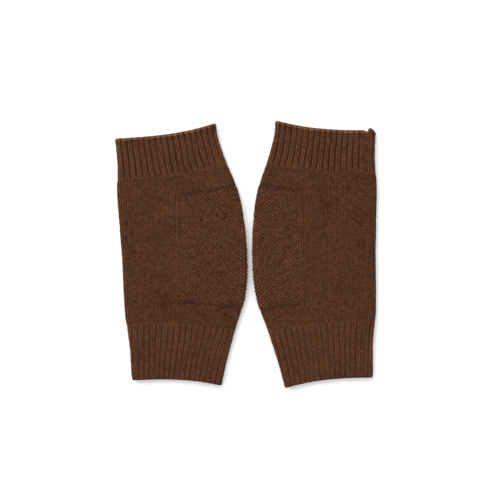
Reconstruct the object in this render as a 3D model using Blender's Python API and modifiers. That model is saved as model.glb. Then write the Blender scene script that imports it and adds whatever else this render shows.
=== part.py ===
"""A pair of knitted fingerless warmers, laid flat side by side.

Each warmer is an open tube, knitted flat in one piece: a ribbed cuff at each end, a plain sleeve between
them, and a moss-stitch panel that bulges over one fold. The two selvedges meet in a seam that lies just
behind the other fold. Both warmers are the same, and the right one lies turned over.

Units are metres. One warmer is modelled about its own middle: +X towards the panel's fold, +Y towards the
top cuff, +Z out of its front face. Two empties then lay the pair on the surface at Z = 0.
"""

from math import cos, pi, radians, sin

import bmesh
import bpy
from mathutils import Vector

MM = 0.001

# The two folds of the flat tube, as points (x, y) of the outline from the bottom edge to the top edge.
SEAM_FOLD = [(-45.7, -127), (-46.9, -95), (-49.8, -56), (-50.1, 0), (-52.3, 68), (-50.9, 100), (-52.3, 126.5)]
PANEL_FOLD = [(45.7, -136.5), (51.2, -114), (62.4, -79), (73.7, -45), (77.5, -8), (76.0, 34), (70.4, 69),
              (59.6, 100), (53.6, 123), (52.0, 137.5)]

# Courses that bound the zones, as their heights (y) on the seam fold and on the panel fold.
BOTTOM_EDGE = (-127.0, -136.5)
BOTTOM_CUFF_TOP = (-67.0, -78.5)
PANEL_BOTTOM = (-47.0, -56.0)
PANEL_TOP = (63.0, 72.0)
TOP_CUFF_BOTTOM = (82.0, 93.0)
TOP_EDGE = (126.5, 137.5)
COURSE_CURL = 2.6       # a course rises or falls from fold to fold as this power of the way across

HEIGHT = 10.4           # of the flat tube over its ribs and panel
SLEEVE_RECESS = 0.4     # plain knitting lies this much lower than the ribs and the panel
RIB_THICKNESS = 2.6
PANEL_THICKNESS = 2.4
SLEEVE_THICKNESS = 1.8
GAP = 0.3               # between neighbouring pieces

# Half the height of each fabric's own middle surface.
RIB_RADIUS = (HEIGHT - RIB_THICKNESS) / 2
PANEL_RADIUS = (HEIGHT - PANEL_THICKNESS) / 2
SLEEVE_RADIUS = (HEIGHT - SLEEVE_THICKNESS) / 2 - SLEEVE_RECESS

# The panel's edge on the front and on the back: its x at the panel's bottom and at its top.
FRONT_PANEL_EDGE = (2.0, 7.5)
BACK_PANEL_EDGE = (26.5, 26.0)

SEAM_INSET = (6.6, 4.2)    # from the start of the flat back to the middle of the seam, at the bottom and top
SLIT_WIDTH = 1.8        # between the two selvedges
THREAD_WIDTH = 1.2
THREAD_HEIGHT = 2.2
THREAD_RECESS = 0.7     # of the linking thread below the ribs' face
ALLOWANCE_WIDTH = 5.0
ALLOWANCE_THICKNESS = 1.2

BIND_OFF_RADIUS = 1.1
CAST_ON_RADIUS = 0.9
EDGE_BEVEL_RESOLUTION = 2

FOLD_STEPS = 8          # facets round each fold
FLAT_STEPS = 6          # columns over each plain stretch of a flat face
CUFF_ROWS = 5
BAND_ROWS = 2
PANEL_ROWS = 10
SEAM_ROWS = 24

# Where the middle of each warmer lies, and how far it is turned from straight.
LEFT_PLACE, LEFT_TURN = (-80.7, -1.4), 2.57
RIGHT_PLACE, RIGHT_TURN = (80.7, 1.4), 0.78

BROWN_RIB = (0.095, 0.037, 0.018)
BROWN_PLAIN = (0.088, 0.034, 0.017)
BROWN_MOSS = (0.092, 0.036, 0.018)
BROWN_EDGE = (0.120, 0.048, 0.024)
BROWN_SEAM = (0.075, 0.029, 0.015)
WOOL_ROUGHNESS = 0.95


# ---------------------------------------------------------------- the flat tube's shape

def smooth_x(points, y):
    """x at height y of a smooth curve through the points, which rise in y."""
    last = len(points) - 1
    i = max(k for k in range(last) if points[k][1] <= y or k == 0)
    (x0, y0), (x1, y1) = points[i], points[i + 1]

    def slope(k):
        (xa, ya), (xb, yb) = points[max(k - 1, 0)], points[min(k + 1, last)]
        return (xb - xa) / (yb - ya)

    t = (y - y0) / (y1 - y0)
    rise = y1 - y0
    return (x0 * (1 + 2 * t) * (1 - t) ** 2 + x1 * t * t * (3 - 2 * t)
            + slope(i) * rise * t * (1 - t) ** 2 - slope(i + 1) * rise * t * t * (1 - t))


def on_line(line, low, high, y):
    """The value at height y of a straight line that runs from line[0] at low to line[1] at high."""
    return line[0] + (line[1] - line[0]) * (y - low) / (high - low)


def on_course(course, radius, across):
    """The points of one course, in metres.

    across gives a flat tube's section as a list of (distance from the seam fold, z), from the section's width
    and radius, and from how far from the seam fold the seam and the panel's front and back edges lie.
    """
    seam_y, panel_y = course
    inset = HEIGHT / 2 - radius
    start = smooth_x(SEAM_FOLD, seam_y) + inset
    width = smooth_x(PANEL_FOLD, panel_y) - inset - start
    seam = radius + on_line(SEAM_INSET, BOTTOM_EDGE[0], TOP_EDGE[0], seam_y)
    edges = [on_line(line, PANEL_BOTTOM[0], PANEL_TOP[0], seam_y) - start
             for line in (FRONT_PANEL_EDGE, BACK_PANEL_EDGE)]
    return [Vector((start + x, seam_y + (panel_y - seam_y) * (x / width) ** COURSE_CURL, z)) * MM
            for x, z in across(width, radius, seam, *edges)]


def between(low, high, share):
    """The course at that share of the way from one course to another."""
    return tuple(a + (b - a) * share for a, b in zip(low, high))


def moved(course, distance):
    return tuple(y + distance for y in course)


def spread(start, end, steps):
    """Evenly spaced numbers from start to end, both included."""
    return [start + (end - start) * i / steps for i in range(steps + 1)]


def fold_arc(centre, radius, first_angle):
    """Half a turn round a fold, clockwise from first_angle, without its two ends."""
    angles = [first_angle - pi * i / FOLD_STEPS for i in range(1, FOLD_STEPS)]
    return [(centre + radius * cos(a), radius * sin(a)) for a in angles]


def whole_section(width, radius, seam, front_edge, back_edge):
    """Round the tube from one selvedge to the other: over the seam fold, the front and the panel fold."""
    window_front, window_back = front_edge - GAP / 2, back_edge - GAP / 2
    front = spread(radius, window_front, FLAT_STEPS) + spread(window_front, width - radius, FLAT_STEPS)[1:]
    back = (spread(width - radius, window_back, FLAT_STEPS)
            + spread(window_back, seam + SLIT_WIDTH / 2, FLAT_STEPS)[1:])
    return ([(seam - SLIT_WIDTH / 2, -radius), (radius, -radius)]
            + fold_arc(radius, radius, -pi / 2)
            + [(x, radius) for x in front]
            + fold_arc(width - radius, radius, pi / 2)
            + [(x, -radius) for x in back])


# The columns of whole_section where the panel's window begins and ends.
WINDOW_START = 2 + (FOLD_STEPS - 1) + FLAT_STEPS
WINDOW_END = WINDOW_START + FLAT_STEPS + FOLD_STEPS + FLAT_STEPS


def panel_section(width, radius, seam, front_edge, back_edge):
    """Over the panel fold, from the panel's edge on the front to its edge on the back."""
    front = spread(front_edge + GAP / 2, width - radius, FLAT_STEPS)
    back = spread(width - radius, back_edge + GAP / 2, FLAT_STEPS)
    return ([(x, radius) for x in front]
            + fold_arc(width - radius, radius, pi / 2)
            + [(x, -radius) for x in back])


def seam_section(z):
    """A single point, at height z on the middle of the seam."""
    def section(width, radius, seam, front_edge, back_edge):
        return [(seam, z)]
    return section


# ---------------------------------------------------------------- making the pieces

def knitted_shell(name, rows, window=None):
    """An open surface through the rows of points. window is the (first, last) row and column of a hole."""
    mesh = bpy.data.meshes.new(name)
    bm = bmesh.new()
    grid = [[bm.verts.new(point) for point in row] for row in rows]
    for r in range(len(grid) - 1):
        for c in range(len(grid[0]) - 1):
            if window and window[0][0] <= r < window[0][1] and window[1][0] <= c < window[1][1]:
                continue
            bm.faces.new((grid[r][c], grid[r][c + 1], grid[r + 1][c + 1], grid[r + 1][c]))
    bmesh.ops.delete(bm, geom=[v for v in bm.verts if not v.link_faces], context="VERTS")
    bmesh.ops.recalc_face_normals(bm, faces=bm.faces)
    bm.to_mesh(mesh)
    bm.free()
    mesh.shade_smooth()
    return mesh


def knitted_courses(low, high, steps):
    """Courses from low to high, both drawn in by half the gap."""
    return [between(moved(low, GAP / 2), moved(high, -GAP / 2), i / steps) for i in range(steps + 1)]


def cuff_mesh(name, low, high):
    courses = knitted_courses(low, high, CUFF_ROWS)
    return knitted_shell(name, [on_course(c, RIB_RADIUS, whole_section) for c in courses])


def sleeve_mesh():
    window_low, window_high = moved(PANEL_BOTTOM, -GAP / 2), moved(PANEL_TOP, GAP / 2)
    low, high = moved(BOTTOM_CUFF_TOP, GAP / 2), moved(TOP_CUFF_BOTTOM, -GAP / 2)
    courses = [between(low, window_low, i / BAND_ROWS) for i in range(BAND_ROWS)]
    courses += [between(window_low, window_high, i / PANEL_ROWS) for i in range(PANEL_ROWS)]
    courses += [between(window_high, high, i / BAND_ROWS) for i in range(BAND_ROWS + 1)]
    rows = [on_course(c, SLEEVE_RADIUS, whole_section) for c in courses]
    window = ((BAND_ROWS, BAND_ROWS + PANEL_ROWS), (WINDOW_START, WINDOW_END))
    return knitted_shell("sleeve", rows, window)


def panel_mesh():
    courses = knitted_courses(PANEL_BOTTOM, PANEL_TOP, PANEL_ROWS)
    rows = [on_course(c, PANEL_RADIUS, panel_section) for c in courses]
    return knitted_shell("moss_panel", rows)


def poly_curve(name, points):
    curve = bpy.data.curves.new(name, "CURVE")
    curve.dimensions = "3D"
    spline = curve.splines.new("POLY")
    spline.points.add(len(points) - 1)
    for point, place in zip(spline.points, points):
        point.co = (*place, 1)
    return curve


def edge_curve(name, edge, radius, away):
    """A round cord of knitting along a cuff's end. away is 1 where the cuff ends upwards, and -1 downwards."""
    course = moved(edge, -away * radius)
    curve = poly_curve(name, on_course(course, RIB_RADIUS, whole_section))
    curve.bevel_depth = radius * MM
    curve.bevel_resolution = EDGE_BEVEL_RESOLUTION
    curve.use_fill_caps = True
    return curve


def seam_line(z):
    """Points up the middle of the seam, on the back, at height z."""
    low = moved(BOTTOM_EDGE, 2 * CAST_ON_RADIUS + GAP)
    high = moved(TOP_EDGE, -2 * BIND_OFF_RADIUS - GAP)
    section = seam_section(z)
    return [on_course(between(low, high, i / SEAM_ROWS), RIB_RADIUS, section)[0] for i in range(SEAM_ROWS + 1)]


def strip_mesh(name, line, width):
    """A flat ribbon along a line up the warmer, which Solidify thickens."""
    half = Vector((width / 2 * MM, 0, 0))
    return knitted_shell(name, [[point - half, point + half] for point in line])


# ---------------------------------------------------------------- putting the pair together

def wool(name, colour):
    material = bpy.data.materials.new(name)
    material.use_nodes = True
    shader = material.node_tree.nodes["Principled BSDF"]
    shader.inputs["Base Color"].default_value = (*colour, 1)
    shader.inputs["Roughness"].default_value = WOOL_ROUGHNESS
    shader.inputs["Metallic"].default_value = 0
    material.diffuse_color = (*colour, 1)
    return material


def piece(name, data, material, holder, collection, thickness=None):
    """One sub-part, in its warmer's own frame. A surface is thickened evenly to both sides."""
    obj = bpy.data.objects.new(name, data)
    collection.objects.link(obj)
    obj.parent = holder
    if not data.materials:
        data.materials.append(material)
    if thickness:
        solidify = obj.modifiers.new("thickness", "SOLIDIFY")
        solidify.thickness = thickness * MM
        solidify.offset = 0
        solidify.use_even_offset = True
    return obj


def warmer_shapes():
    """(sub-part, mesh or curve, material, thickness) for one warmer. Both warmers share these shapes."""
    top_cuff_end = moved(TOP_EDGE, -2 * BIND_OFF_RADIUS - GAP / 2)
    bottom_cuff_end = moved(BOTTOM_EDGE, 2 * CAST_ON_RADIUS + GAP / 2)
    rib_inner_face = -HEIGHT / 2 + RIB_THICKNESS
    allowance_z = rib_inner_face + GAP + ALLOWANCE_THICKNESS / 2
    thread_z = -HEIGHT / 2 + THREAD_RECESS + THREAD_HEIGHT / 2
    rib, edge = wool("rib_wool", BROWN_RIB), wool("edge_wool", BROWN_EDGE)
    return [
        ("top_cuff", cuff_mesh("top_cuff", TOP_CUFF_BOTTOM, top_cuff_end), rib, RIB_THICKNESS),
        ("sleeve", sleeve_mesh(), wool("plain_wool", BROWN_PLAIN), SLEEVE_THICKNESS),
        ("moss_panel", panel_mesh(), wool("moss_wool", BROWN_MOSS), PANEL_THICKNESS),
        ("bottom_cuff", cuff_mesh("bottom_cuff", bottom_cuff_end, BOTTOM_CUFF_TOP), rib, RIB_THICKNESS),
        ("bind_off_edge", edge_curve("bind_off_edge", TOP_EDGE, BIND_OFF_RADIUS, 1), edge, None),
        ("cast_on_edge", edge_curve("cast_on_edge", BOTTOM_EDGE, CAST_ON_RADIUS, -1), edge, None),
        ("seam_allowance", strip_mesh("seam_allowance", seam_line(allowance_z), ALLOWANCE_WIDTH),
         wool("seam_wool", BROWN_SEAM), ALLOWANCE_THICKNESS),
        ("linking_thread", strip_mesh("linking_thread", seam_line(thread_z), THREAD_WIDTH),
         wool("thread_wool", BROWN_EDGE), THREAD_HEIGHT),
    ]


def overall_middle(collection):
    """The middle of the pair's outline on the surface."""
    bpy.context.view_layer.update()
    graph = bpy.context.evaluated_depsgraph_get()
    corners = []
    for obj in collection.objects:
        if obj.type != "EMPTY":
            evaluated = obj.evaluated_get(graph)
            mesh = evaluated.to_mesh()
            corners += [evaluated.matrix_world @ vertex.co for vertex in mesh.vertices]
            evaluated.to_mesh_clear()
    return Vector([(min(c[k] for c in corners) + max(c[k] for c in corners)) / 2 for k in (0, 1)] + [0])


def main():
    for obj in list(bpy.data.objects):
        bpy.data.objects.remove(obj, do_unlink=True)
    collection = bpy.data.collections.new("fingerless_warmers")
    bpy.context.scene.collection.children.link(collection)

    shapes = warmer_shapes()
    holders = []
    for side, place, turn, turned_over in (("left", LEFT_PLACE, LEFT_TURN, 0), ("right", RIGHT_PLACE, RIGHT_TURN, pi)):
        holder = bpy.data.objects.new(f"{side}_warmer", None)
        collection.objects.link(holder)
        holder.location = (place[0] * MM, place[1] * MM, HEIGHT / 2 * MM)
        holder.rotation_euler = (0, turned_over, radians(turn))
        holders.append(holder)
        for name, data, material, thickness in shapes:
            piece(f"{side}_{name}", data, material, holder, collection, thickness)

    middle = overall_middle(collection)
    for holder in holders:
        holder.location -= middle
    bpy.context.view_layer.update()


main()
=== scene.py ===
"""A pair of fingerless knitted warmers in brown wool, laid flat side by side on a pale table.

The knitting is worked in its own measure, wales round the tube and courses up it. A smooth fabric surface says
where any wale and course lies, a stitch pattern raises it into ribs, plain stitches or moss stitch, and the
yarns of the edges and the seam are laid on it stitch by stitch. Sizes are in millimetres until a mesh is made.
"""

from math import pi, radians

import bpy
import numpy as np
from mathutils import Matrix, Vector


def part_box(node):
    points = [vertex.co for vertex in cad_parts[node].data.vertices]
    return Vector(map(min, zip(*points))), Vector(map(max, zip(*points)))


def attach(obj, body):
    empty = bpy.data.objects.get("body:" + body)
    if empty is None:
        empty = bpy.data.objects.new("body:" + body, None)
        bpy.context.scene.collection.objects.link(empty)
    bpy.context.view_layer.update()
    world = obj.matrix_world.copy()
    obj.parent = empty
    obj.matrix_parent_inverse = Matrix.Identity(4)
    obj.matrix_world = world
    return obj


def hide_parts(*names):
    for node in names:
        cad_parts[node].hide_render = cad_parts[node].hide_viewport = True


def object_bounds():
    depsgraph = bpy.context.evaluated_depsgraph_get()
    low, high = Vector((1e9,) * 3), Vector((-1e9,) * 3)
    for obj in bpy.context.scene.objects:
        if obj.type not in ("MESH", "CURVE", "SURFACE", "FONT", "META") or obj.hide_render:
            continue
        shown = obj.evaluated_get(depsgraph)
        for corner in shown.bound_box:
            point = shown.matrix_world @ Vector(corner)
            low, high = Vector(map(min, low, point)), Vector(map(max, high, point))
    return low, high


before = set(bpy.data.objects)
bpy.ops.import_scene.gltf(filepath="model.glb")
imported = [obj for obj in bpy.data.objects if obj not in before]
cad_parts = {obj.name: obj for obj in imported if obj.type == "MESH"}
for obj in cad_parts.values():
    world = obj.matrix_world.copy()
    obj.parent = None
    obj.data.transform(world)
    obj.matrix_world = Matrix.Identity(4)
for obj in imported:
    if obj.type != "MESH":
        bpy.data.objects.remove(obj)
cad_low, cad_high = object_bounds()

MM = 0.001
SEED = 11

# ---------------------------------------------------------------- sizes of one warmer

# The two folds of the flat tube, as points (x, y) of the outline from the bottom edge to the top edge.
SEAM_FOLD = [(-45.7, -127), (-46.9, -95), (-49.8, -56), (-50.1, 0), (-52.3, 68), (-50.9, 100), (-52.3, 126.5)]
PANEL_FOLD = [(45.7, -136.5), (51.2, -114), (62.4, -79), (73.7, -45), (77.5, -8), (76.0, 34), (70.4, 69),
              (59.6, 100), (53.6, 123), (52.0, 137.5)]

WALES = 108             # round the tube from selvedge to selvedge: 36 repeats of the rib
PANEL_WALES = (30, 78)  # the moss panel's first and last wale

# Where the fabric changes: the course, and that course's height (y) on the seam fold and on the panel fold.
COURSES = {
    "cast on": (0, -127.0, -136.5),
    "bottom cuff": (32, -67.0, -78.5),
    "panel's bottom": (43, -47.0, -56.0),
    "panel's top": (105, 63.0, 72.0),
    "top cuff": (115, 82.0, 93.0),
    "bind off": (139, 126.5, 137.5),
}
COURSE_CURL = 2.6       # a course rises or falls from fold to fold as this power of the way across
MOSS_COURSES = 68       # the panel's own courses, more than beside it

RADIUS = 3.9            # of the middle surface round each fold
INSET = 1.3             # from the outline to the middle surface
PLAIN_FULLNESS = 0.6    # how much further out the plain knitting lies, which is thinner than the ribs
SEAM_INSET = (6.6, 4.2)         # from the start of the flat back to the seam, at the bottom and top
SLIT = (1.7, 0.4)       # the seam's width in the cuffs, and in the sleeve
SAG, SAG_RUN = 2.3, 26  # how far the upper layer sinks between the folds, and over what distance from them
PRESSED = 0.5           # stitches nearer to the table than this are pressed flat against it
FRONT_PANEL_EDGE = (2.0, 7.5)   # x of the panel's edge on the front, at the panel's bottom and top
BACK_PANEL_EDGE = (26.5, 26.0)

WARMERS = {"left": (False, 2.57), "right": (True, 0.78)}    # turned over, and turned on the table in degrees
PUCKER = {"left": 0.25, "right": 1}     # how far the seam's end puckers the top edge
PUCKER_WAVES = (        # each one's rise, wale and width
    (2.7, 1.3, 1.2), (-1.7, 5.5, 3.0), (-1.3, 11, 3.0), (-1.2, 0, 1.1), (-1.2, WALES, 1.1))
STRETCH = {"left": (1.014, 0.987), "right": (1, 1.007)}     # as laid, across and along
OUTERMOST = ("top_cuff", "bottom_cuff", "sleeve", "moss_panel", "bind_off_edge", "cast_on_edge")

# The look of each piece, and the depth of the ribs in each cuff as a share of their full relief.
SLOTS = {
    "sleeve": "plain_wool",
    "moss_panel": "moss_wool",
    "bind_off_edge": "edge_wool",
    "cast_on_edge": "edge_wool",
    "seam_allowance": "seam_wool",
    "linking_thread": "thread_wool",
    "bottom_cuff": "rib_wool",
    "top_cuff": "rib_wool",
}
RIB_RELIEF = {"bottom_cuff": 0.84, "top_cuff": 0.95}

CAGE_WALES, CAGE_COURSES = 109, 71  # knots of the fabric surface, round and up
CUFF_CELLS, SLEEVE_CELLS, PANEL_CELLS = (5, 5), (4, 4), (5, 4)      # outer cells to a stitch, round and up
CUFF_THICKNESS, SLEEVE_THICKNESS, PANEL_THICKNESS = 1.1, 0.8, 1.1   # from the middle surface to the inner face
SELVEDGE_SINKS = 0.6    # below the middle surface, where a selvedge turns in to the seam
SELVEDGE_DEPTH = 2.25   # from the middle surface to the middle of the turned-in ridge
SEAM_HALF = 2.3         # half the width of the turned-in ridge, and of the linking yarn in the cuffs


def course_of(mark):
    return COURSES[mark][0]


def stitch_places(first, last, per_stitch):
    """Evenly spaced places over a run of stitches, with so many to each stitch."""
    return np.linspace(first, last, round((last - first) * per_stitch) + 1)


# ---------------------------------------------------------------- the fabric surface

def smooth(points, y):
    """x at each height y of a smooth curve through the points."""
    xs, ys = np.array(points, float).T
    slopes = np.empty_like(xs)
    slopes[1:-1] = (xs[2:] - xs[:-2]) / (ys[2:] - ys[:-2])
    slopes[0] = (xs[1] - xs[0]) / (ys[1] - ys[0])
    slopes[-1] = (xs[-1] - xs[-2]) / (ys[-1] - ys[-2])
    i = np.clip(np.searchsorted(ys, y) - 1, 0, len(ys) - 2)
    rise = ys[i + 1] - ys[i]
    t = (y - ys[i]) / rise
    return (xs[i] * (1 + 2 * t) * (1 - t) ** 2 + xs[i + 1] * t * t * (3 - 2 * t)
            + slopes[i] * rise * t * (1 - t) ** 2 - slopes[i + 1] * rise * t * t * (1 - t))


def ease(low, high, value):
    """0 below low, 1 above high, and a smooth step between."""
    t = np.clip((value - low) / (high - low), 0, 1)
    return t * t * (3 - 2 * t)


def within_sleeve(courses):
    """0 in the cuffs and 1 in the sleeve between them."""
    bottom, top = course_of("bottom cuff"), course_of("top cuff")
    return ease(bottom - 2, bottom + 4, courses) * (1 - ease(top - 4, top + 2, courses))


def flat_tube(wales, courses, pucker, facing):
    """The middle surface of the flat tube, as an array (courses, wales, 3).

    pucker is how far the seam's end puckers the top edge. facing is 1 if the front lies uppermost and -1 if the
    back does: the upper layer sags between the folds, most at the open ends.
    """
    marks, seam_heights, panel_heights = np.array(list(COURSES.values())).T
    seam_y = np.interp(courses, marks, seam_heights)
    panel_y = np.interp(courses, marks, panel_heights)
    start = smooth(SEAM_FOLD, seam_y) + INSET - PLAIN_FULLNESS * within_sleeve(courses)
    width = smooth(PANEL_FOLD, panel_y) - INSET - start
    up = (seam_y - seam_heights[0]) / (seam_heights[-1] - seam_heights[0])
    seam = RADIUS + SEAM_INSET[0] + (SEAM_INSET[1] - SEAM_INSET[0]) * up
    up_panel = (seam_y - seam_heights[2]) / (seam_heights[3] - seam_heights[2])
    front_edge = FRONT_PANEL_EDGE[0] + (FRONT_PANEL_EDGE[1] - FRONT_PANEL_EDGE[0]) * up_panel - start
    back_edge = BACK_PANEL_EDGE[0] + (BACK_PANEL_EDGE[1] - BACK_PANEL_EDGE[0]) * up_panel - start

    # Lengths along the section: back to the seam fold, round it, the front, round the panel fold, the back.
    half_turn = pi * RADIUS
    slit = SLIT[0] + (SLIT[1] - SLIT[0]) * within_sleeve(courses)
    fold_1 = seam - slit / 2 - RADIUS
    front = fold_1 + half_turn
    fold_2 = front + width - 2 * RADIUS
    back = fold_2 + half_turn
    end = back + width - RADIUS - (seam + slit / 2)
    evenly = end[:, None] * wales / WALES
    at_front_edge = front + front_edge - RADIUS
    at_back_edge = back + width - RADIUS - back_edge
    by_panel = np.array([np.interp(wales, (0, *PANEL_WALES, WALES), lengths)
                         for lengths in zip(0 * end, at_front_edge, at_back_edge, end)])
    in_sleeve = (ease(course_of("bottom cuff") - 4, course_of("panel's bottom"), courses)
                 * (1 - ease(course_of("panel's top"), course_of("top cuff") + 4, courses)))[:, None]
    length = evenly + (by_panel - evenly) * in_sleeve

    fold_1, front, fold_2, back, width = (v[:, None] for v in (fold_1, front, fold_2, back, width))
    turn_1 = (length - fold_1) / RADIUS
    turn_2 = (length - fold_2) / RADIUS
    where = [length < fold_1, length < front, length < fold_2, length < back]
    x = np.select(where, [RADIUS + fold_1 - length, RADIUS - RADIUS * np.sin(turn_1), RADIUS + length - front,
                          width - RADIUS + RADIUS * np.sin(turn_2)], width - RADIUS - (length - back))
    z = np.select(where, [-RADIUS, -RADIUS * np.cos(turn_1), RADIUS, RADIUS * np.cos(turn_2)], -RADIUS)
    sag = SAG * (0.8 + 0.2 * np.cos(2 * pi * courses / course_of("bind off")))[:, None]
    z = z - facing * sag * ease(-RADIUS, RADIUS, facing * z) * ease(0, SAG_RUN, np.minimum(x, width - x))
    across = np.clip(x / width, 0, 1)
    y = seam_y[:, None] + (panel_y - seam_y)[:, None] * across ** COURSE_CURL
    near_edge = ease(course_of("bind off") - 6, course_of("bind off"), courses)[:, None]
    y += pucker * near_edge * sum(rise * np.exp(-((wales - wale) / wide) ** 2) for rise, wale, wide in PUCKER_WAVES)
    return np.stack([start[:, None] + x, y, z], axis=2)


def spline_weights(at, knots):
    """Weights of a smooth curve through evenly spaced knots: one row for each place, counted in knots."""
    first = np.clip(np.floor(at).astype(int), 0, knots - 2)
    t = at - first
    shares = 0.5 * np.stack([-t + 2 * t ** 2 - t ** 3, 2 - 5 * t ** 2 + 3 * t ** 3,
                             t + 4 * t ** 2 - 3 * t ** 3, -t ** 2 + t ** 3])
    weights = np.zeros((len(at), knots + 2))
    for k in range(4):
        weights[np.arange(len(at)), first + k] += shares[k]
    weights[:, 1] += 2 * weights[:, 0]
    weights[:, 2] -= weights[:, 0]
    weights[:, -2] += 2 * weights[:, -1]
    weights[:, -3] -= weights[:, -1]
    return weights[:, 1:-1]


def unit(vectors):
    return vectors / np.linalg.norm(vectors, axis=-1, keepdims=True)


class Fabric:
    """One warmer's knitting as a smooth surface, read at any wale and course."""

    def __init__(self, side):
        self.side = side
        self.over, self.turn = WARMERS[side]
        wales = np.linspace(0, WALES, CAGE_WALES)
        courses = np.linspace(0, course_of("bind off"), CAGE_COURSES)
        self.cage = flat_tube(wales, courses, PUCKER[side], -1 if self.over else 1)
        self.body = f"{side}_warmer"
        self.random = np.random.default_rng(SEED)
        self.middle = self.find_middle()

    def find_middle(self):
        """Where the warmer's own middle lies on the table, from the boxes of its outermost parts in the frame."""
        boxes = [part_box(f"{self.side}_{part}") for part in OUTERMOST]
        low = np.min([box[0] for box in boxes], axis=0)
        high = np.max([box[1] for box in boxes], axis=0)
        wales, courses = stitch_places(0, WALES, 4), stitch_places(0, course_of("bind off"), 2)
        outline = self.turned(self.raised(wales, courses, INSET))
        return ((low + high) / MM - (outline.min(axis=(0, 1)) + outline.max(axis=(0, 1)))) / 2

    def surface(self, wales, courses):
        round_it = spline_weights(wales * (CAGE_WALES - 1) / WALES, CAGE_WALES)
        up_it = spline_weights(courses * (CAGE_COURSES - 1) / course_of("bind off"), CAGE_COURSES)
        return np.einsum("rj,jik,ci->rck", up_it, self.cage, round_it, optimize=True)

    def directions(self, wales, courses):
        """Unit vectors along the courses, up the wales and out of the fabric."""
        step = 0.2
        along = unit(self.surface(wales + step, courses) - self.surface(wales - step, courses))
        up = unit(self.surface(wales, courses + step) - self.surface(wales, courses - step))
        return along, up, unit(np.cross(along, up))

    def raised(self, wales, courses, out, sideways=0, upwards=0):
        """The surface moved out along its normal, along its courses and up its wales."""
        along, up, normal = self.directions(wales, courses)
        moves = [np.broadcast_to(move, normal.shape[:2])[..., None] for move in (out, sideways, upwards)]
        return self.surface(wales, courses) + normal * moves[0] + along * moves[1] + up * moves[2]

    def turned(self, points):
        """Points of the warmer's own frame, stretched, turned over if it lies so, and turned on the table."""
        points = points * (*STRETCH[self.side], 1)
        if self.over:
            points = points * (-1, 1, -1)
        c, s = np.cos(radians(self.turn)), np.sin(radians(self.turn))
        return points @ np.array([[c, s, 0], [-s, c, 0], [0, 0, 1]])

    def place(self, points):
        """Points of the warmer's own frame, in metres where they lie on the table."""
        placed = self.turned(points) + self.middle
        pressed = np.minimum(placed[..., 2], PRESSED)
        placed[..., 2] += PRESSED * np.exp(pressed / PRESSED - 1) - pressed
        return placed * MM

    def unevenness(self, wales, courses, wide, high, size):
        """A smooth random field over the fabric, with bumps about so many wales wide and courses high."""
        knots = [max(4, int(np.ptp(run) / spacing) + 2) for run, spacing in ((courses, high), (wales, wide))]
        field = self.random.normal(0, size, knots)
        rows, columns = [spline_weights((run - run[0]) / np.ptp(run) * (count - 1), count)
                         for run, count in zip((courses, wales), knots)]
        return rows @ field @ columns.T


# ---------------------------------------------------------------- stitches

LEG_SLANT = 0.7     # courses that a stitch's leg climbs from the middle of its wale to the edge
BAR_BOW = 0.25      # courses that a purl bar drops at its ends


def stitch_side(wale):
    """0 in the middle of a wale, 1 at both of its edges."""
    return np.abs(wale % 1 - 0.5) * 2


def plain_stitches(wale, course):
    """The V shapes of plain knitting, from 0 in the grooves to 1 on the yarn."""
    side = stitch_side(wale)
    legs = 1 - (1.6 * side - 0.6) ** 2
    return legs * (0.72 + 0.28 * np.cos(2 * pi * (course - LEG_SLANT * side)))


def purl_bars(wale, course):
    """The bars of purl stitches, from 0 between them to 1 on top."""
    side = stitch_side(wale)
    return (0.5 + 0.5 * np.cos(2 * pi * (course - BAR_BOW * side ** 2))) * (1 - 0.3 * side ** 2)


def rib_is_purl(wale):
    return (wale % 3 > 2).astype(float)


def rib_stitches(wale, course):
    """Two wales of plain knitting stand over one wale of purl."""
    place = wale % 3
    ridge = np.where(place < 2, 0.25 + 0.75 * (1 - np.abs(place - 1) ** 3.5), 0.25 * (2 * np.abs(place - 2.5)) ** 2)
    knit = ridge * (0.52 + 0.55 * plain_stitches(wale, course))
    return np.where(place < 2, knit, knit + 0.24 * purl_bars(wale, course))


def moss_is_purl(wale, course):
    return ((np.floor(wale) + np.floor(course + 0.5)) % 2 < 0.5).astype(float)


def moss_stitches(wale, course):
    """Purl bumps and plain stitches take turns along each course and up each wale."""
    bump = np.sin(pi * (wale % 1)) ** 0.7 * np.abs(np.cos(pi * course)) ** 0.8
    plain = 0.02 + 0.33 * plain_stitches(wale, course)
    return np.where(moss_is_purl(wale, course) > 0.5, 0.22 + 0.78 * bump, plain + 0.20 * (1 - bump))


# ---------------------------------------------------------------- meshes

# Shares of the map's width for a knitted piece's outer face, its lining and its rim.
OUTER_MAP, LINING_MAP, RIM_MAP = (0, 0.72), (0.74, 0.92), (0.94, 1)
RIM_CELLS_ACROSS = 4
CELL_MARGIN = 0.04      # of a cell of the map, left free round its face
WALL_MAP = (0.08, 0.92)     # the share of a yarn's cell for its wall
END_MAP = 0.03          # the radius there of a yarn's end


def add_mesh(name, points, faces, finish):
    """A mesh object from points in metres and a list of arrays of faces with equal corner counts."""
    mesh = bpy.data.meshes.new(name)
    corners = np.concatenate([group.ravel() for group in faces])
    sizes = np.concatenate([np.full(len(group), group.shape[1]) for group in faces])
    starts = np.concatenate([[0], np.cumsum(sizes)[:-1]])
    mesh.vertices.add(len(points))
    mesh.vertices.foreach_set("co", np.ascontiguousarray(points, np.float32).ravel())
    mesh.loops.add(len(corners))
    mesh.loops.foreach_set("vertex_index", corners.astype(np.int32))
    mesh.polygons.add(len(starts))
    mesh.polygons.foreach_set("loop_start", starts.astype(np.int32))
    mesh.update(calc_edges=True)
    mesh.validate()
    mesh.shade_smooth()
    mesh.materials.append(finish)
    obj = bpy.data.objects.new(name, mesh)
    bpy.context.scene.collection.objects.link(obj)
    return obj


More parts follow.
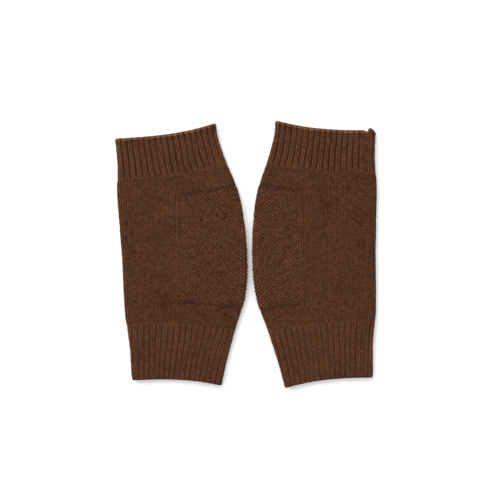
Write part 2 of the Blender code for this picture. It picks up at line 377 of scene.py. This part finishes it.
def point_values(obj, **fields):
    """Stores one number on each point of a mesh for its finish to read."""
    for name, values in fields.items():
        attribute = obj.data.attributes.new(name, "FLOAT", "POINT")
        attribute.data.foreach_set("value", np.ascontiguousarray(values, np.float32).ravel())


def lay_out(obj, groups):
    """Gives every corner of every face its own place on the map that the finished looks are baked to."""
    corners = np.concatenate([group.reshape(-1) for group in groups])
    obj.data.uv_layers.new(name="OFBake").data.foreach_set("uv", corners.astype(np.float32))


def in_cells(count, across, corners, low, high):
    """Places in a rectangle of the map, cut into cells: corners (count, ..., 2) each fill the unit square."""
    cell = np.stack([np.arange(count) % across, np.arange(count) // across], axis=1)
    cell = cell.reshape(count, *[1] * (corners.ndim - 2), 2)
    size = (np.array(high) - low) / (across, -(-count // across))
    return low + (cell + CELL_MARGIN + (1 - 2 * CELL_MARGIN) * corners) * size


def tube_layout(count, length, sides):
    """Places for tubes: the quads of the walls, then the first ends and the last ones."""
    across = max(1, round((count * sides / length) ** 0.5))
    step, side = np.meshgrid(np.arange(length - 1), np.arange(sides), indexing="ij")
    steps = (step[..., None] + (0, 0, 1, 1)) / (length - 1)
    turns = (side[..., None] + (0, 1, 1, 0)) / sides
    walls = np.stack([np.interp(steps, (0, 1), WALL_MAP), turns], axis=-1)
    angles = np.linspace(0, 2 * pi, sides, endpoint=False)
    end = END_MAP * np.stack([np.cos(angles), np.sin(angles)], axis=1)
    groups = walls, end + (END_MAP, 0.5), end + (1 - END_MAP, 0.5)
    return [in_cells(count, across, np.broadcast_to(group, (count, *group.shape)), (0, 0), (1, 1))
            for group in groups]


def grid_faces(rows, columns, window=None):
    """Faces of a grid of points, and which of its cells are open."""
    index = np.arange(rows * columns).reshape(rows, columns)
    quads = np.stack([index[:-1, :-1], index[:-1, 1:], index[1:, 1:], index[1:, :-1]], axis=2)
    open_cells = np.zeros((rows - 1, columns - 1), bool)
    if window:
        (row_0, row_1), (column_0, column_1) = window
        open_cells[row_0:row_1, column_0:column_1] = True
    return index, quads, open_cells


def border_loops(index, window=None):
    """The grid's outer border anticlockwise, and its window's border clockwise, as closed loops of points."""
    loops = [np.concatenate([index[0, :-1], index[:-1, -1], index[-1, :0:-1], index[:0:-1, 0]])]
    if window:
        (row_0, row_1), (column_0, column_1) = window
        hole = index[row_0:row_1 + 1, column_0:column_1 + 1]
        loops.append(np.concatenate([hole[0, :-1], hole[:-1, -1], hole[-1, :0:-1], hole[:0:-1, 0]])[::-1])
    return loops


def knitted_piece(fabric, name, wales, courses, pattern, finish, thickness, coarse, spread=None, window=None,
                  loose=1.0):
    """A closed piece of knitting: its pattern outside, a coarser lining of purl inside, and a rim between.

    wales and courses are the places of the outer grid. pattern gives for each point its height in millimetres over
    the middle surface, its own course, and whether it is purl. thickness is the depth of the inner face below that
    surface, coarse is how many outer cells make an inner one, and loose is how uneven single stitches are.
    """
    spread = spread or (lambda wale: wale)
    grid_w, grid_c = np.meshgrid(wales, courses)
    rise, own_course, purl = pattern(grid_w, grid_c)

    def uneven(*bumps):
        return sum(fabric.unevenness(wales, courses, wide, high, size) for wide, high, size in bumps)

    rise = rise * (1 + uneven((1.2, 1.2, 0.10 * loose)))
    height = rise + uneven((7, 9, 0.08))
    sideways = uneven((14, 16, 0.22), (2.5, 7, 0.13), (1.3, 1.3, 0.05 * loose))
    upwards = uneven((10, 8, 0.16), (1.5, 1.5, 0.07 * loose))
    edge = np.minimum.reduce([grid_w - wales[0], wales[-1] - grid_w, grid_c - courses[0], courses[-1] - grid_c])
    calm = ease(0, 1.5, edge)
    outer = fabric.raised(spread(wales), courses, height, sideways * calm, upwards * calm)

    inner_w, inner_c = wales[::coarse], courses[::coarse]
    inner_grid = np.meshgrid(inner_w, inner_c)
    inner = fabric.raised(spread(inner_w), inner_c, -thickness)

    rows, columns = grid_w.shape
    index, quads, open_cells = grid_faces(rows, columns, window)
    small = window and tuple(tuple(v // coarse for v in pair) for pair in window)
    inner_index, inner_quads, inner_open = grid_faces(*inner_grid[0].shape, small)
    inner_index = inner_index + rows * columns
    faces = [quads[~open_cells], (inner_quads[~inner_open] + rows * columns)[:, ::-1]]
    for outer_loop, inner_loop in zip(border_loops(index, window), border_loops(inner_index, small)):
        ring = np.append(outer_loop, outer_loop[0])
        inner_ring = np.append(inner_loop, inner_loop[0])
        starts = np.arange(0, len(outer_loop), coarse)
        spans = np.stack([ring[starts + k] for k in range(coarse, -1, -1)], axis=1)
        faces.append(np.column_stack([spans, inner_ring[:-1], inner_ring[1:]]))

    def both(outside, inside):
        return np.concatenate([outside.ravel(), inside.ravel()])

    ends = wales[[0, -1]], courses[[0, -1]]
    across_map = both(np.interp(grid_w, ends[0], OUTER_MAP), np.interp(inner_grid[0], ends[0], LINING_MAP))
    up_map = both(np.interp(grid_c, ends[1], (0, 1)), np.interp(inner_grid[1], ends[1], (0, 1)))
    on_map = np.stack([across_map, up_map], axis=1)
    rim_corners = np.array([(k / coarse, 1) for k in range(coarse, -1, -1)] + [(0, 0), (1, 0)])
    rims = sum(len(group) for group in faces[2:])
    rim_corners = np.broadcast_to(rim_corners, (rims, *rim_corners.shape))
    places_on_map = [on_map[group] for group in faces[:2]]
    places_on_map.append(in_cells(rims, RIM_CELLS_ACROSS, rim_corners, (RIM_MAP[0], 0), (RIM_MAP[1], 1)))

    points = np.concatenate([outer.reshape(-1, 3), inner.reshape(-1, 3)])
    values = {
        "wale": both(grid_w, inner_grid[0]),
        "course": both(own_course, own_course[::coarse, ::coarse]),
        "rise": both(rise, np.full_like(inner_grid[0], np.median(rise))),
        "purl": both(purl, 1 - purl[::coarse, ::coarse]),
    }
    if window:
        used = np.unique(np.concatenate([group.ravel() for group in faces]))
        renumber = np.full(len(points), -1)
        renumber[used] = np.arange(len(used))
        faces = [renumber[group] for group in faces]
        points = points[used]
        values = {key: value[used] for key, value in values.items()}
    piece = add_mesh(f"{fabric.side}_{name}", fabric.place(points), faces, finish)
    point_values(piece, **values)
    lay_out(piece, places_on_map)
    return piece


def yarns(fabric, name, paths, radii, guides, finish, sides=6, rise=1.0):
    """Round yarns of equal point counts in one mesh, each closed at both ends.

    paths and guides are arrays (yarns, points, 3); a guide is a direction across the yarn. radii and rise fit
    (yarns, points); rise sets each point's painted light and shade.
    """
    tangent = unit(np.gradient(paths, axis=1))
    first = unit(np.cross(tangent, guides))
    second = np.cross(tangent, first)
    angles = np.linspace(0, 2 * pi, sides, endpoint=False)
    radii = np.broadcast_to(radii, paths.shape[:2])[:, :, None, None]
    ring = (np.cos(angles)[:, None] * first[:, :, None] + np.sin(angles)[:, None] * second[:, :, None]) * radii
    points = paths[:, :, None] + ring
    count, length = paths.shape[:2]
    index = np.arange(count * length * sides).reshape(count, length, sides)
    nearby = np.roll(index, -1, axis=2)
    walls = np.stack([index[:, :-1], nearby[:, :-1], nearby[:, 1:], index[:, 1:]], axis=3).reshape(-1, 4)
    ends = [index[:, 0, ::-1], index[:, -1]]
    piece = add_mesh(f"{fabric.side}_{name}", fabric.place(points.reshape(-1, 3)), [walls, *ends], finish)
    steps = np.broadcast_to(np.arange(length)[None, :, None], index.shape)
    turns = np.broadcast_to(np.arange(sides)[None, None, :] / sides, index.shape)
    whole = np.broadcast_to(np.arange(count)[:, None, None], index.shape)
    rise = np.broadcast_to(np.broadcast_to(rise, paths.shape[:2])[:, :, None], index.shape)
    point_values(piece, wale=turns, course=steps * 0.25 + whole * 7, rise=rise)
    lay_out(piece, tube_layout(count, length, sides))
    return piece


# ---------------------------------------------------------------- finishes

# Scales of the yarn's random patterns, from its finest hairs to patches of several stitches.
FUZZ, FIBRES, HEATHER, TINTS, PATCHES = 4200.0, 1300.0, 300.0, 190.0, 34.0


class Socket:
    """A shader socket that takes part in arithmetic. Each operation adds a Math node."""

    def __init__(self, finish, link):
        self.finish = finish
        self.link = link

    def maths(self, operation, *others):
        return self.finish.node("ShaderNodeMath", {"operation": operation}, dict(enumerate((self, *others))))

    def __add__(self, other):
        return self.maths("ADD", other)

    def __sub__(self, other):
        return self.maths("SUBTRACT", other)

    def __rsub__(self, other):
        return self * -1.0 + other

    def __mul__(self, other):
        return self.maths("MULTIPLY", other)

    def __pow__(self, other):
        return self.maths("POWER", other)


class Finish:
    """A material and its nodes."""

    def __init__(self, name):
        self.material = bpy.data.materials.new(name)
        self.material.use_nodes = True
        self.tree = self.material.node_tree
        self.shader = self.tree.nodes["Principled BSDF"]

    def node(self, kind, settings=None, inputs=None, output=0):
        """Adds a node, sets it up, feeds its sockets with values or links, and returns one of its outputs."""
        node = self.tree.nodes.new(kind)
        for key, value in (settings or {}).items():
            setattr(node, key, value)
        self.feed(node, inputs or {})
        return Socket(self, node.outputs[output])

    def feed(self, node, inputs):
        for key, value in inputs.items():
            if isinstance(value, Socket):
                self.tree.links.new(value.link, node.inputs[key])
            else:
                node.inputs[key].default_value = value

    def number(self, attribute):
        return self.node("ShaderNodeAttribute", {"attribute_name": attribute}, output="Fac")

    def noise(self, place, scale, detail=2.0, roughness=0.5):
        return self.node("ShaderNodeTexNoise", {}, {"Vector": place, "Scale": scale, "Detail": detail,
                                                    "Roughness": roughness})

    def vector(self, x, y):
        return self.node("ShaderNodeCombineXYZ", {}, {0: x, 1: y})

    def mix(self, share, first, second):
        """first where share is 0 and second where it is 1, both colours."""
        return self.node("ShaderNodeMix", {"data_type": "RGBA"}, {0: share, 6: first, 7: second}, output=2)


def colour(red, green, blue):
    return (red, green, blue, 1.0)


def wool(name, dark, light, low, high):
    """Brown heathered yarn: fibres from dark to light, some redder and some tawnier.

    low and high are the rise, in millimetres, that counts as the bottom and the top of the stitches, and so as
    full painted shade and none. Gives the finish, the place of each point in space and in the stitches, its fibres,
    its colour and how high it stands (for that painted shade), for knitting and single yarns to finish in their own
    way.
    """
    finish = Finish(name)
    here = finish.node("ShaderNodeTexCoord", output="Object")
    wale, course, rise = (finish.number(key) for key in ("wale", "course", "rise"))
    stitch = finish.node("ShaderNodeTexWhiteNoise", {"noise_dimensions": "2D"}, {
        "Vector": finish.vector((wale * 2).maths("FLOOR"), course.maths("FLOOR"))})
    fibres = finish.noise(here, FIBRES, 3.0, 0.65)
    heather = finish.noise(here, HEATHER, roughness=0.55)
    patches = finish.noise(here, PATCHES)
    tone = fibres * 0.9 + heather * 1.3 + patches * 0.5 + stitch * 0.30 - 1.0
    tone = tone.maths("MAXIMUM", 0.0).maths("MINIMUM", 1.0)
    # depth is 0 in low places and 1 on crests: the finishes paint shade into the low places with it.
    depth = finish.node("ShaderNodeMapRange", {"interpolation_type": "SMOOTHSTEP"}, {
        "Value": rise, "From Min": low, "From Max": high, "To Min": 0.0, "To Max": 1.0})
    blend = finish.node("ShaderNodeMapRange", {}, {
        "Value": finish.noise(here, TINTS, roughness=0.6), "From Min": 0.36, "From Max": 0.64, "To Min": 0.0,
        "To Max": 1.0})
    tint = finish.mix(blend, colour(1.03, 0.96, 0.98), colour(0.97, 1.05, 0.99))
    yarn = finish.node("ShaderNodeVectorMath", {"operation": "MULTIPLY"}, {0: finish.mix(tone, dark, light), 1: tint})
    return finish, here, wale, course, fibres, yarn, depth


def finish_yarn(finish, whole, fibres, height, distance):
    """The soft surface that all the yarns share."""
    relief = finish.node("ShaderNodeBump", {}, {"Height": height, "Strength": 0.8, "Distance": distance})
    finish.feed(finish.shader, {
        "Base Color": whole, "Normal": relief, "Roughness": fibres * 0.16 + 0.82,
        "Specular IOR Level": 0.1, "Sheen Weight": 0.04, "Sheen Roughness": 0.45,
        "Sheen Tint": colour(0.9, 0.5, 0.3)})
    return finish.material


def knitted_wool(name, dark, light, groove_shade, low, high):
    """Knitting: legs of plain stitches and bars of purl, with painted shade in the gaps between the yarns and in low
    places, and plies along them.
    """
    finish, here, wale, course, fibres, yarn, depth = wool(name, dark, light, low, high)
    side = (wale.maths("FRACT") - 0.5).maths("ABSOLUTE") * 2
    leg = (course - side * LEG_SLANT + 0.5).maths("FRACT")
    leg_round = leg * (1 - leg) * 4
    leg_ends = 1 - (side * 1.6 - 0.6).maths("ABSOLUTE") ** 2
    bar = (course - side * side * BAR_BOW + 0.5).maths("FRACT")
    bar_round = bar * (1 - bar) * 4
    plain = leg_round ** 0.5 * leg_ends
    purled = bar_round ** 0.5 * (1 - side * side * 0.45)
    body = plain + (purled - plain) * finish.number("purl")
    plies = ((leg + side * 0.8 + bar * 0.4) * (2 * pi * 2)).maths("SINE")
    fuzz = finish.noise(here, FUZZ, roughness=0.6)
    # Painted shade: the yarns' edges and the gaps between them take the groove colour, and so do low places through
    # depth.
    shade = body * 1.7 - 0.15
    shade = shade.maths("MAXIMUM", 0.0).maths("MINIMUM", 1.0)
    whole = finish.mix(shade * 0.7 + 0.3, groove_shade, yarn)
    whole = finish.mix(depth, groove_shade, whole)
    return finish_yarn(finish, whole, fibres, body + plies * 0.07 + fibres * 0.25 + fuzz * 0.15, 0.0005)


def twisted_wool(name, dark, light, groove_shade, low, high):
    """A yarn by itself, with its plies round it, and painted shade between the plies and where it lies low."""
    finish, here, wale, course, fibres, yarn, depth = wool(name, dark, light, low, high)
    plies = ((wale * 2 + course * 2) * (2 * pi)).maths("SINE")
    fuzz = finish.noise(here, FUZZ, roughness=0.6)
    # Painted shade: the turns between the plies and a low rise take the groove colour.
    whole = finish.mix(depth * (plies * 0.18 + 0.82), groove_shade, yarn)
    return finish_yarn(finish, whole, fibres, plies * 0.4 + fibres * 0.6 + fuzz * 0.4, 0.0002)


def table_top():
    finish = Finish("pale_table")
    here = finish.node("ShaderNodeTexCoord", output="Object")
    grain = finish.noise(here, 40.0, 3.0)
    finish.feed(finish.shader, {
        "Base Color": finish.mix(grain, colour(0.94, 0.94, 0.94), colour(0.97, 0.97, 0.97)),
        "Roughness": 0.9, "Specular IOR Level": 0.1})
    return finish.material


# ---------------------------------------------------------------- the pieces of a warmer

def rib_spread(wale):
    """The plain wales of a rib spread, and the purl wale between them draws in."""
    return wale // 3 * 3 + np.interp(wale % 3, (0, 1, 2, 3), (0, 1.17, 2.34, 3))


def with_selvedges(height, grid_w, grid_c):
    """The height of the fabric, sinking at the selvedges where they turn in to the seam."""
    wide = 1.2 - 0.75 * within_sleeve(grid_c)
    over_fabric = ease(-0.3, wide, grid_w) * ease(-0.3, wide, WALES - grid_w)
    return height - (SELVEDGE_SINKS + height) * (1 - over_fabric)


def plain_height(grid_w, grid_c):
    """How far plain knitting stands over the middle surface, in millimetres."""
    return 0.25 + 0.75 * plain_stitches(grid_w, grid_c)


def make_cuff(fabric, name, first, last, finish):
    """A ribbed cuff over the courses from first to last. The ribs fade into plain knitting beside the sleeve."""
    wales, courses = stitch_places(0, WALES, CUFF_CELLS[0]), stitch_places(first, last, CUFF_CELLS[1])
    by_sleeve = courses[0] if first else courses[-1]
    fading = 2.4 + fabric.unevenness(wales, courses, 6, 1000, 0.8)
    depth = RIB_RELIEF[name] * (1 + fabric.unevenness(wales, courses, 6, 12, 0.08))

    def pattern(grid_w, grid_c):
        ribbed = 1.25 + 1.6 * depth * (rib_stitches(grid_w, grid_c) - 1)
        ribs = ease(-0.5, fading, np.abs(grid_c - by_sleeve))
        height = plain_height(grid_w, grid_c) * (1 - ribs) + ribbed * ribs
        ends = ease(-0.3, 1.0, grid_c) * ease(-0.3, 1.0, course_of("bind off") - grid_c)
        height = 0.3 + (height - 0.3) * ends
        return with_selvedges(height, grid_w, grid_c), grid_c, rib_is_purl(grid_w) * ribs

    return knitted_piece(fabric, f"{name}_knit", wales, courses, pattern, finish, CUFF_THICKNESS, CUFF_CELLS[1],
                         spread=rib_spread)


def make_sleeve(fabric, finish):
    """Plain knitting round the panel's window. It sinks above and below the panel and rises at the panel's sides."""
    low, high = course_of("bottom cuff"), course_of("top cuff")
    across, up = SLEEVE_CELLS
    wales, courses = stitch_places(0, WALES, across), stitch_places(low, high, up)
    first_wale, last_wale = PANEL_WALES
    bottom, top = course_of("panel's bottom"), course_of("panel's top")

    def pattern(grid_w, grid_c):
        height = plain_height(grid_w, grid_c)
        above_or_below = (ease(first_wale - 1, first_wale + 2, grid_w)
                          * ease(-last_wale - 1, -last_wale + 2, -grid_w))
        from_ends = np.minimum(np.abs(grid_c - bottom), np.abs(grid_c - top))
        height = height - 0.2 * above_or_below * (1 - ease(0, 1.8, from_ends))
        from_sides = np.minimum(np.abs(grid_w - first_wale), np.abs(grid_w - last_wale))
        beside = ease(-0.5, 0.5, np.minimum(grid_c - bottom, top - grid_c))
        height = height + 0.3 * (1 - ease(0, 1, from_sides)) * beside
        return with_selvedges(height, grid_w, grid_c), grid_c, np.zeros_like(grid_w)

    window = ([up * (bottom - low), up * (top - low)], [across * first_wale, across * last_wale])
    return knitted_piece(fabric, "sleeve_knit", wales, courses, pattern, finish, SLEEVE_THICKNESS, up, window=window)


def make_panel(fabric, finish):
    """The moss-stitch panel, with its own courses and a plain wale along each side."""
    low, high = course_of("panel's bottom"), course_of("panel's top")
    across, up = PANEL_CELLS
    wales = stitch_places(*PANEL_WALES, across)
    courses = low + stitch_places(0, MOSS_COURSES, up) * (high - low) / MOSS_COURSES

    def pattern(grid_w, grid_c):
        own = (grid_c - low) * MOSS_COURSES / (high - low)
        within = ease(-0.4, 1.4, np.minimum(grid_w - PANEL_WALES[0], PANEL_WALES[1] - grid_w))
        height = 0.3 + 1.15 * moss_stitches(grid_w, own) + 0.2 * ease(0, 3, np.minimum(own, MOSS_COURSES - own))
        height = (0.45 + plain_height(grid_w, own)) * (1 - within) + height * within
        return height, own, moss_is_purl(grid_w, own)

    return knitted_piece(fabric, "moss_panel_knit", wales, courses, pattern, finish, PANEL_THICKNESS, up, loose=1.4)


def edge_path(fabric, wales, course, down):
    """Points along an edge of the tube, down millimetres inside it, with the directions up and out there."""
    course = np.array([float(course)])
    _, up, out = (v[0] for v in fabric.directions(wales, course))
    return fabric.surface(wales, course)[0] - up * down, up, out


def make_bind_off(fabric, finish):
    """A chain of bound-off stitches round the top edge, two legs to each wale.

    One leg goes over the edge, with painted shade where it dips at its ends. The other lies on the outer face below
    it, fuller over the ribs, with painted light there and painted shade between them.
    """
    joints = 8
    steps = np.linspace(-0.3, 1.25, joints)
    wales = (np.arange(WALES)[:, None] + steps).ravel()
    path, up, out = edge_path(fabric, wales, course_of("bind off"), 1.25)
    bow = np.tile(np.sin(np.linspace(0, pi, joints)), WALES)
    over_rib = 0.5 + 0.5 * np.cos(2 * pi * (wales - 1) / 3)
    # Each leg: its move from the edge, its radius, and its rise, which sets its painted light and shade.
    legs = {
        "over": (up * (0.25 + 0.62 * bow)[:, None] + out * (0.15 - 0.1 * bow)[:, None], 0.42 + 0.24 * bow,
                 0.42 + 0.3 * bow),
        "face": (up * (-0.95 + 0.25 * bow)[:, None] + out * (0.35 + (0.45 + 0.55 * over_rib) * bow)[:, None],
                 0.42 + (0.16 + 0.26 * over_rib) * bow, (0.5 + 0.5 * bow) * (0.45 + 0.65 * over_rib)),
    }
    shape = (len(legs) * WALES, joints)
    moves, radii, rise = (np.concatenate(values) for values in zip(*legs.values()))
    paths = np.concatenate([path] * len(legs)) + moves
    guides = np.concatenate([up] * len(legs))
    return yarns(fabric, "bind_off_chain", paths.reshape(*shape, 3), radii.reshape(shape),
                 guides.reshape(*shape, 3), finish, sides=8, rise=rise.reshape(shape))


def make_cast_on(fabric, finish):
    """Two plies twisted round each other along the bottom edge, one full turn to two wales, darkened with painted
    shade.
    """
    count = WALES * 8 + 1
    wales = np.linspace(-0.4, WALES + 0.4, count)
    path, up, out = edge_path(fabric, wales, 0, -0.85)
    turns = np.linspace(0, 2 * pi * WALES / 2, count)[:, None]
    apart, radius = 0.42, 0.46
    paths = np.stack([path + apart * (np.cos(turns + phase) * out + np.sin(turns + phase) * up)
                      for phase in (0, pi)])
    # rise=0.2 holds the cord near the groove colour: painted shade along the bottom edge.
    return yarns(fabric, "cast_on_cord", paths, radius, np.stack([up, up]), finish, rise=0.2)


def seam_line(fabric, courses):
    """The middle of the slit with its directions, at these courses."""
    ends = np.array([0.0, float(WALES)])
    sides = fabric.surface(ends, courses)
    out = unit(fabric.directions(ends, courses)[2].sum(axis=1))
    return sides.mean(axis=1), unit(sides[:, 1] - sides[:, 0]), out


def make_selvedges(fabric, finish):
    """The two selvedges, turned in side by side along the seam: a double ridge that swells at every course."""
    courses = stitch_places(1, course_of("bind off") - 1, 4)
    middle, across, out = seam_line(fabric, courses)
    angles = np.linspace(0, 2 * pi, 16, endpoint=False)
    swell = 1 + 0.16 * np.cos(2 * pi * courses)[:, None]
    wide = SEAM_HALF * np.cos(angles) * swell
    lobes = 0.62 * np.sin(angles) * (0.75 + 0.45 * np.abs(np.cos(angles)))
    points = (middle[:, None] - out[:, None] * SELVEDGE_DEPTH
              + across[:, None] * wide[..., None] + out[:, None] * lobes[None, :, None])
    rows, sides = points.shape[:2]
    index = np.arange(rows * sides).reshape(rows, sides)
    nearby = np.roll(index, -1, axis=1)
    walls = np.stack([index[:-1], nearby[:-1], nearby[1:], index[1:]], axis=2).reshape(-1, 4)
    caps = [index[:1, ::-1], index[-1:]]
    piece = add_mesh(f"{fabric.side}_selvedges", fabric.place(points.reshape(-1, 3)), [walls, *caps], finish)
    point_values(piece, wale=np.broadcast_to(angles / pi, index.shape),
                 course=np.broadcast_to(courses[:, None], index.shape), rise=np.ones(index.shape))
    lay_out(piece, tube_layout(1, rows, sides))
    return piece


def make_linking(fabric, finish):
    """The linking yarn: a bar across the seam at every course, wider in the cuffs and drawn in along the sleeve."""
    courses = np.arange(1.5, course_of("bind off") - 1, 1.0)
    middle, across, out = seam_line(fabric, courses)
    reach = np.linspace(-1, 1, 9)
    arch = np.cos(reach * pi / 2)
    drawn_in = within_sleeve(courses)
    half = SEAM_HALF - 1.2 * drawn_in + 0.3 * fabric.random.uniform(-1, 1, len(courses))
    slant = np.cross(out, across) * fabric.random.uniform(-0.4, 0.4, (len(courses), 1))
    lift = (1.4 - 0.7 * drawn_in)[:, None] * arch ** 0.8 - 0.6
    paths = (middle[:, None] + across[:, None] * (half[:, None] * reach)[..., None]
             + slant[:, None] * reach[None, :, None] + out[:, None] * lift[..., None])
    guides = np.repeat(np.cross(across, out)[:, None], len(reach), axis=1)
    radii = 0.55 * (1 + 0.2 * fabric.random.uniform(-1, 1, (len(courses), 1))) * (0.7 + 0.3 * arch)
    return yarns(fabric, "linking_yarn", paths, radii, guides, finish)


def make_warmer(side, finishes):
    """One warmer, each of its pieces with the body it rides on, the node it replaces and the name of its look."""
    fabric = Fabric(side)
    makers = {
        "sleeve": make_sleeve,
        "moss_panel": make_panel,
        "bind_off_edge": make_bind_off,
        "cast_on_edge": make_cast_on,
        "seam_allowance": make_selvedges,
        "linking_thread": make_linking,
    }
    made = {node: make(fabric, finishes[SLOTS[node]]) for node, make in makers.items()}
    cuffs = {"bottom_cuff": (0, course_of("bottom cuff")), "top_cuff": (course_of("top cuff"), course_of("bind off"))}
    for cuff, (first, last) in cuffs.items():
        made[cuff] = make_cuff(fabric, cuff, first, last, finishes[SLOTS[cuff]])
    for node, piece in made.items():
        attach(piece, fabric.body)
        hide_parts(f"{side}_{node}")


# ---------------------------------------------------------------- the studio

TABLE_HALF = 1.6        # metres
TABLE_GAP = 0.00005     # keeps the table's face clear of the pieces' lowest faces
WORLD_STRENGTH = 0.90
LIGHTS = {              # place and size in metres, and power in watts
    "overhead": ((-0.74, 1.05, 1.15), 2.0, 33.5),
    "fill": ((0.8, -0.9, 0.9), 1.2, 3.0),
}
CAMERA_ASIDE = (0.0039, 0.0046)     # from over the middle of the pair
CAMERA_LENS, CAMERA_DISTANCE, VIEW_WIDTH = 100.0, 1.5, 0.515


def studio():
    """A pale table in even light, with the camera straight above it."""
    centre = (cad_low + cad_high) / 2
    table = bpy.data.meshes.new("table")
    corners = [(-TABLE_HALF, -TABLE_HALF, 0), (TABLE_HALF, -TABLE_HALF, 0), (TABLE_HALF, TABLE_HALF, 0),
               (-TABLE_HALF, TABLE_HALF, 0)]
    table.from_pydata(corners, [], [(0, 1, 2, 3)])
    table.materials.append(table_top())
    floor = bpy.data.objects.new("table", table)
    floor.location = (centre.x, centre.y, cad_low.z - TABLE_GAP)
    bpy.context.scene.collection.objects.link(floor)

    world = bpy.data.worlds.new("studio")
    world.use_nodes = True
    background = world.node_tree.nodes["Background"].inputs
    background["Color"].default_value = colour(1, 1, 1)
    background["Strength"].default_value = WORLD_STRENGTH
    bpy.context.scene.world = world

    for name, (place, size, power) in LIGHTS.items():
        light = bpy.data.lights.new(name, "AREA")
        light.size = size
        light.energy = power
        lamp = bpy.data.objects.new(name, light)
        lamp.location = place
        lamp.rotation_euler = (centre - Vector(place)).to_track_quat("-Z", "Y").to_euler()
        bpy.context.scene.collection.objects.link(lamp)

    camera = bpy.data.cameras.new("camera")
    camera.lens = CAMERA_LENS
    camera.sensor_width = CAMERA_LENS * VIEW_WIDTH / CAMERA_DISTANCE
    camera.dof.use_dof = False
    eye = bpy.data.objects.new("camera", camera)
    eye.location = (centre.x + CAMERA_ASIDE[0], centre.y + CAMERA_ASIDE[1], cad_high.z + CAMERA_DISTANCE)
    bpy.context.scene.collection.objects.link(eye)
    bpy.context.scene.camera = eye
    bpy.context.scene.view_settings.view_transform = "Standard"


# The looks: the yarn's darkest and lightest fibres, the painted shade of grooves between yarns and of low places, and
# the rise of groove and crest.
finishes = {
    "rib_wool": knitted_wool("rib_wool", colour(0.0434, 0.0150, 0.0060), colour(0.1434, 0.0542, 0.0232),
                             colour(0.0204, 0.0077, 0.0040), -0.4, 0.6),
    "plain_wool": knitted_wool("plain_wool", colour(0.0301, 0.0106, 0.0043), colour(0.1469, 0.0538, 0.0228),
                               colour(0.0159, 0.0061, 0.0030), 0.1, 0.75),
    "moss_wool": knitted_wool("moss_wool", colour(0.0460, 0.0161, 0.0068), colour(0.1434, 0.0535, 0.0235),
                              colour(0.0195, 0.0073, 0.0037), 0.42, 1.15),
    # edge_wool is lighter than the knitted wool: a painted highlight on the bound-off edge.
    "edge_wool": twisted_wool("edge_wool", colour(0.0740, 0.0230, 0.0080), colour(0.3900, 0.1660, 0.0880),
                              colour(0.0283, 0.0097, 0.0044), 0.1, 0.9),
    # seam_wool is a darker copy of the wool: painted shade on the selvedges sunk in the slit.
    "seam_wool": twisted_wool("seam_wool", colour(0.0354, 0.0128, 0.0056), colour(0.0912, 0.0350, 0.0154),
                              colour(0.0212, 0.0084, 0.0042), 0.0, 0.5),
    # thread_wool is lighter than the knitted wool: painted light on the raised linking bars.
    "thread_wool": twisted_wool("thread_wool", colour(0.0664, 0.0241, 0.0104), colour(0.2350, 0.0925, 0.0450),
                                colour(0.0283, 0.0112, 0.0062), 0.0, 0.5),
}
studio()
for warmer in WARMERS:
    make_warmer(warmer, finishes)
